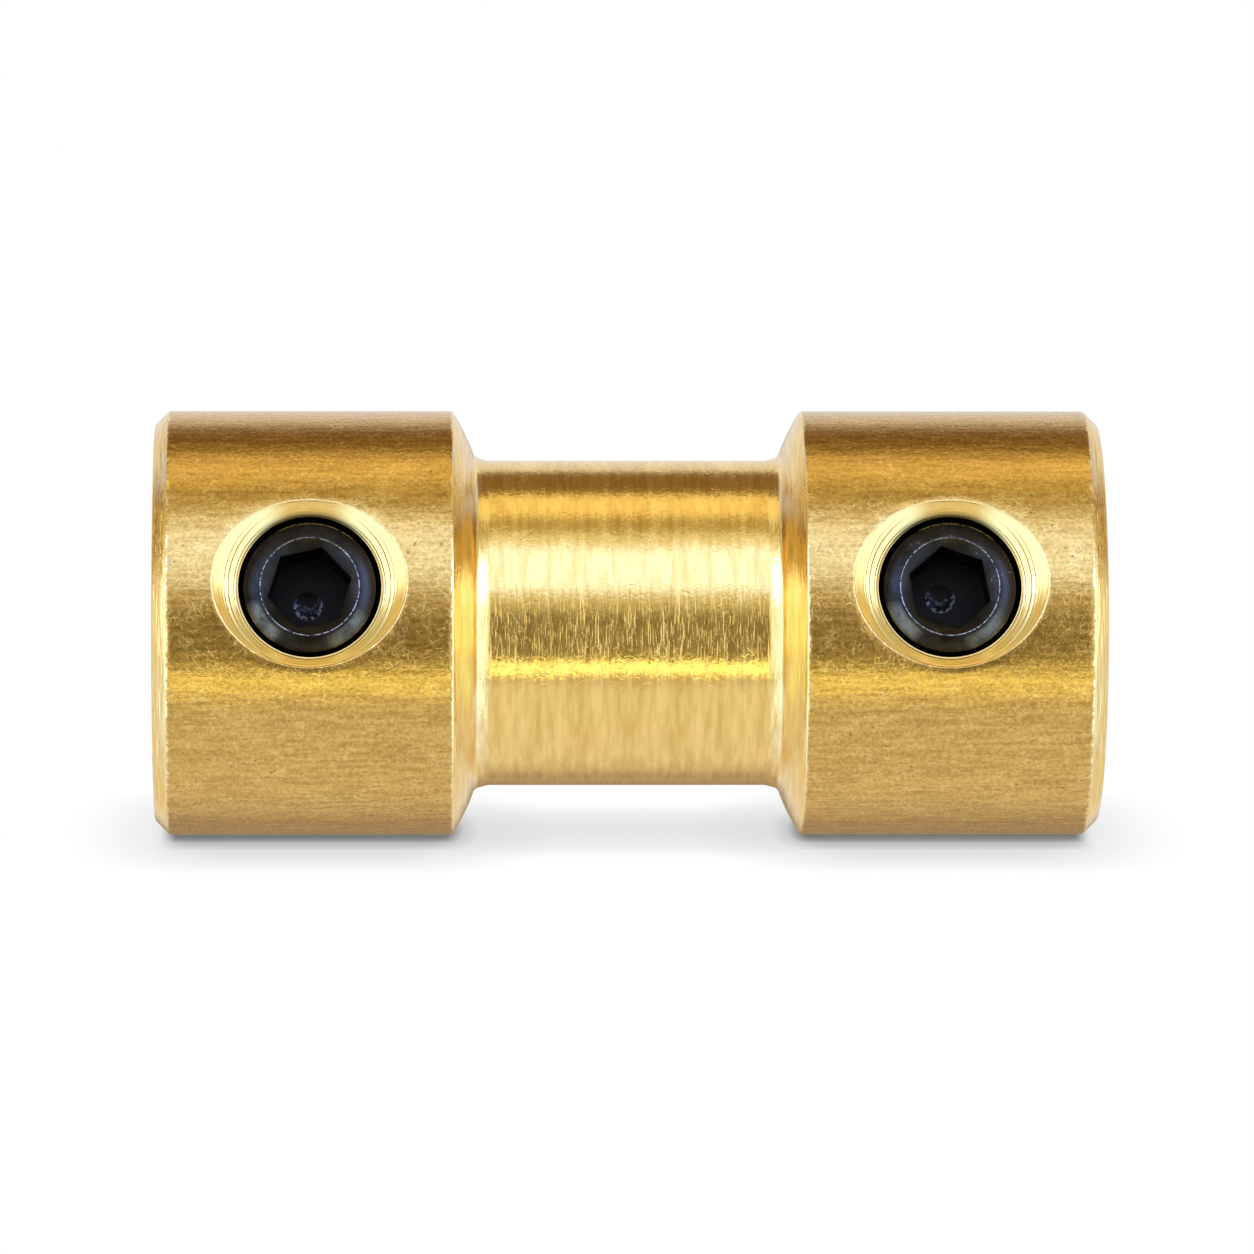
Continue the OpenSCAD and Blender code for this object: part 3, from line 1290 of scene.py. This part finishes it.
    def place_camera(self) -> None:
        """Stands the camera where the photograph was taken from."""
        yaw = self.camera_yaw
        back = self.towards_camera * math.cos(yaw) + BORE_AXIS * math.sin(yaw)
        right = self.picture_up.cross(back)
        aim = self.aim - self.picture_up * self.camera_sink + right * self.camera_slide
        stand = (aim + back * self.distance) * MM
        data = bpy.data.cameras.new("camera")
        data.sensor_width = self.sensor_w
        data.lens = self.photo_scale * self.distance * self.sensor_w / PHOTO_SIDE
        data.clip_start = self.clip_start
        camera = bpy.data.objects.new("camera", data)
        axes = Matrix((right, self.picture_up, back)).transposed().to_4x4()
        camera.matrix_world = Matrix.Translation(stand) @ axes
        bpy.context.collection.objects.link(camera)
        bpy.context.scene.camera = camera

    def build(self) -> None:
        """Sets up light, table and camera."""
        self.light_world()
        self.lay_table()
        self.place_camera()
        bpy.context.scene.view_settings.view_transform = "Standard"


def tent_panels() -> tuple[Panel, ...]:
    """The lit sheets of the tent.

    Returns:
        The sheets, later ones over earlier ones.
    """
    return (
        Panel(angle=157, half_width=21, softness=6, colour=(0.92, 0.91, 0.93, 1)),
        Panel(angle=72, half_width=14, softness=6, colour=(0.54, 0.44, 0.20, 1)),
        Panel(angle=92.5, half_width=11, softness=6, colour=(1.21, 1.02, 0.58, 1)),
        Panel(angle=-2, half_width=24, softness=6, colour=(0.27, 0.230, 0.130, 1)),
        Panel(angle=17, half_width=8, softness=7, colour=(0.72, 0.70, 0.52, 1)),
        Panel(angle=-90, half_width=49, softness=8, colour=(0.91, 0.89, 0.86, 1)),
        Panel(angle=-150, half_width=22, softness=20, colour=(0.52, 0.43, 0.32, 1)),
        Panel(angle=-168, half_width=11, softness=8, colour=(0.42, 0.31, 0.17, 1)),
        Panel(angle=-32.5, half_width=5, softness=3.5, colour=(2.10, 2.12, 1.15, 1)),
        Panel(angle=58, half_width=9, softness=5, colour=(1.00, 0.98, 0.82, 1)),
        Panel(angle=38.5, half_width=17, softness=6, colour=(1.45, 1.76, 2.70, 1)),
        Panel(angle=-8, half_width=30, softness=4, colour=(1.20, 1.18, 1.00, 1), tilts=(10, 80)),
        Panel(angle=-20, half_width=62, softness=10, colour=(1.3, 1.85, 3.0, 1), tilts=(26, 66)),
        Panel(angle=-128, half_width=48, softness=12, colour=(1.05, 1.25, 2.1, 1), tilts=(20, 75)),
        Panel(angle=158, half_width=13, softness=5, colour=(0.62, 0.43, 0.17, 1), tilts=(41, 62)),
        Panel(angle=180, half_width=8, softness=4, colour=(1.15, 1.15, 0.80, 1), tilts=(38, 70)),
        Panel(angle=-150, half_width=26, softness=8, colour=(0.92, 0.88, 0.80, 1), tilts=(14, 70)),
        Panel(angle=77, half_width=18, softness=8, colour=(0.62, 0.64, 0.55, 1), tilts=(30, 54)),
        Panel(angle=119, half_width=12, softness=8, colour=(0.85, 1.10, 2.4, 1), tilts=(27, 47)),
        Panel(angle=30, half_width=14, softness=6, colour=(1.8, 2.6, 6.0, 1), tilts=(22, 56)),
        Panel(angle=10, half_width=46, softness=9, colour=(2.3, 2.5, 3.2, 1), tilts=(58, 86)),
        Panel(angle=52, half_width=32, softness=3, colour=(1.05, 1.0, 0.90, 1), tilts=(15, 20)),
    )


def main() -> None:
    """Builds the body, the screws and the studio."""
    logging.basicConfig(level=logging.INFO, format="%(name)s: %(message)s")
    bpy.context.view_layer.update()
    low, high = (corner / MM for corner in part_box("coupling_body"))
    collar_r = max(*high.xy, *-low.xy)
    thread = Thread()
    screws = []
    holes = []
    for node, turn in SOCKET_TURNS.items():
        first, last = (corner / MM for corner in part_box(node))
        axis = ScrewAxis(height=(first.z + last.z) / 2)
        hole = TappedHole(axis, collar_r, CouplingBody.bore_r, thread)
        holes.append(hole)
        screws.append(
            SetScrew(
                name=node.replace("set_screw", "screw"),
                node=node,
                hole=hole,
                tip=-last.y,
                top=-first.y,
                socket_turn=math.radians(turn),
                dimple_shift=DIMPLE_SHIFTS[node],
            )
        )
    body = CouplingBody(collar_r=collar_r, length=high.z - low.z, holes=holes)
    for maker in (body, *screws):
        piece = maker.build()
        maker.dress(piece)
        log.info("%s: %d faces", piece.name, len(piece.data.polygons))
    aim = Vector((0, 0, (low.z + high.z) / 2))
    LightTent(aim=aim, collar_r=collar_r, panels=tent_panels()).build()


if __name__ == "__main__":
    main()
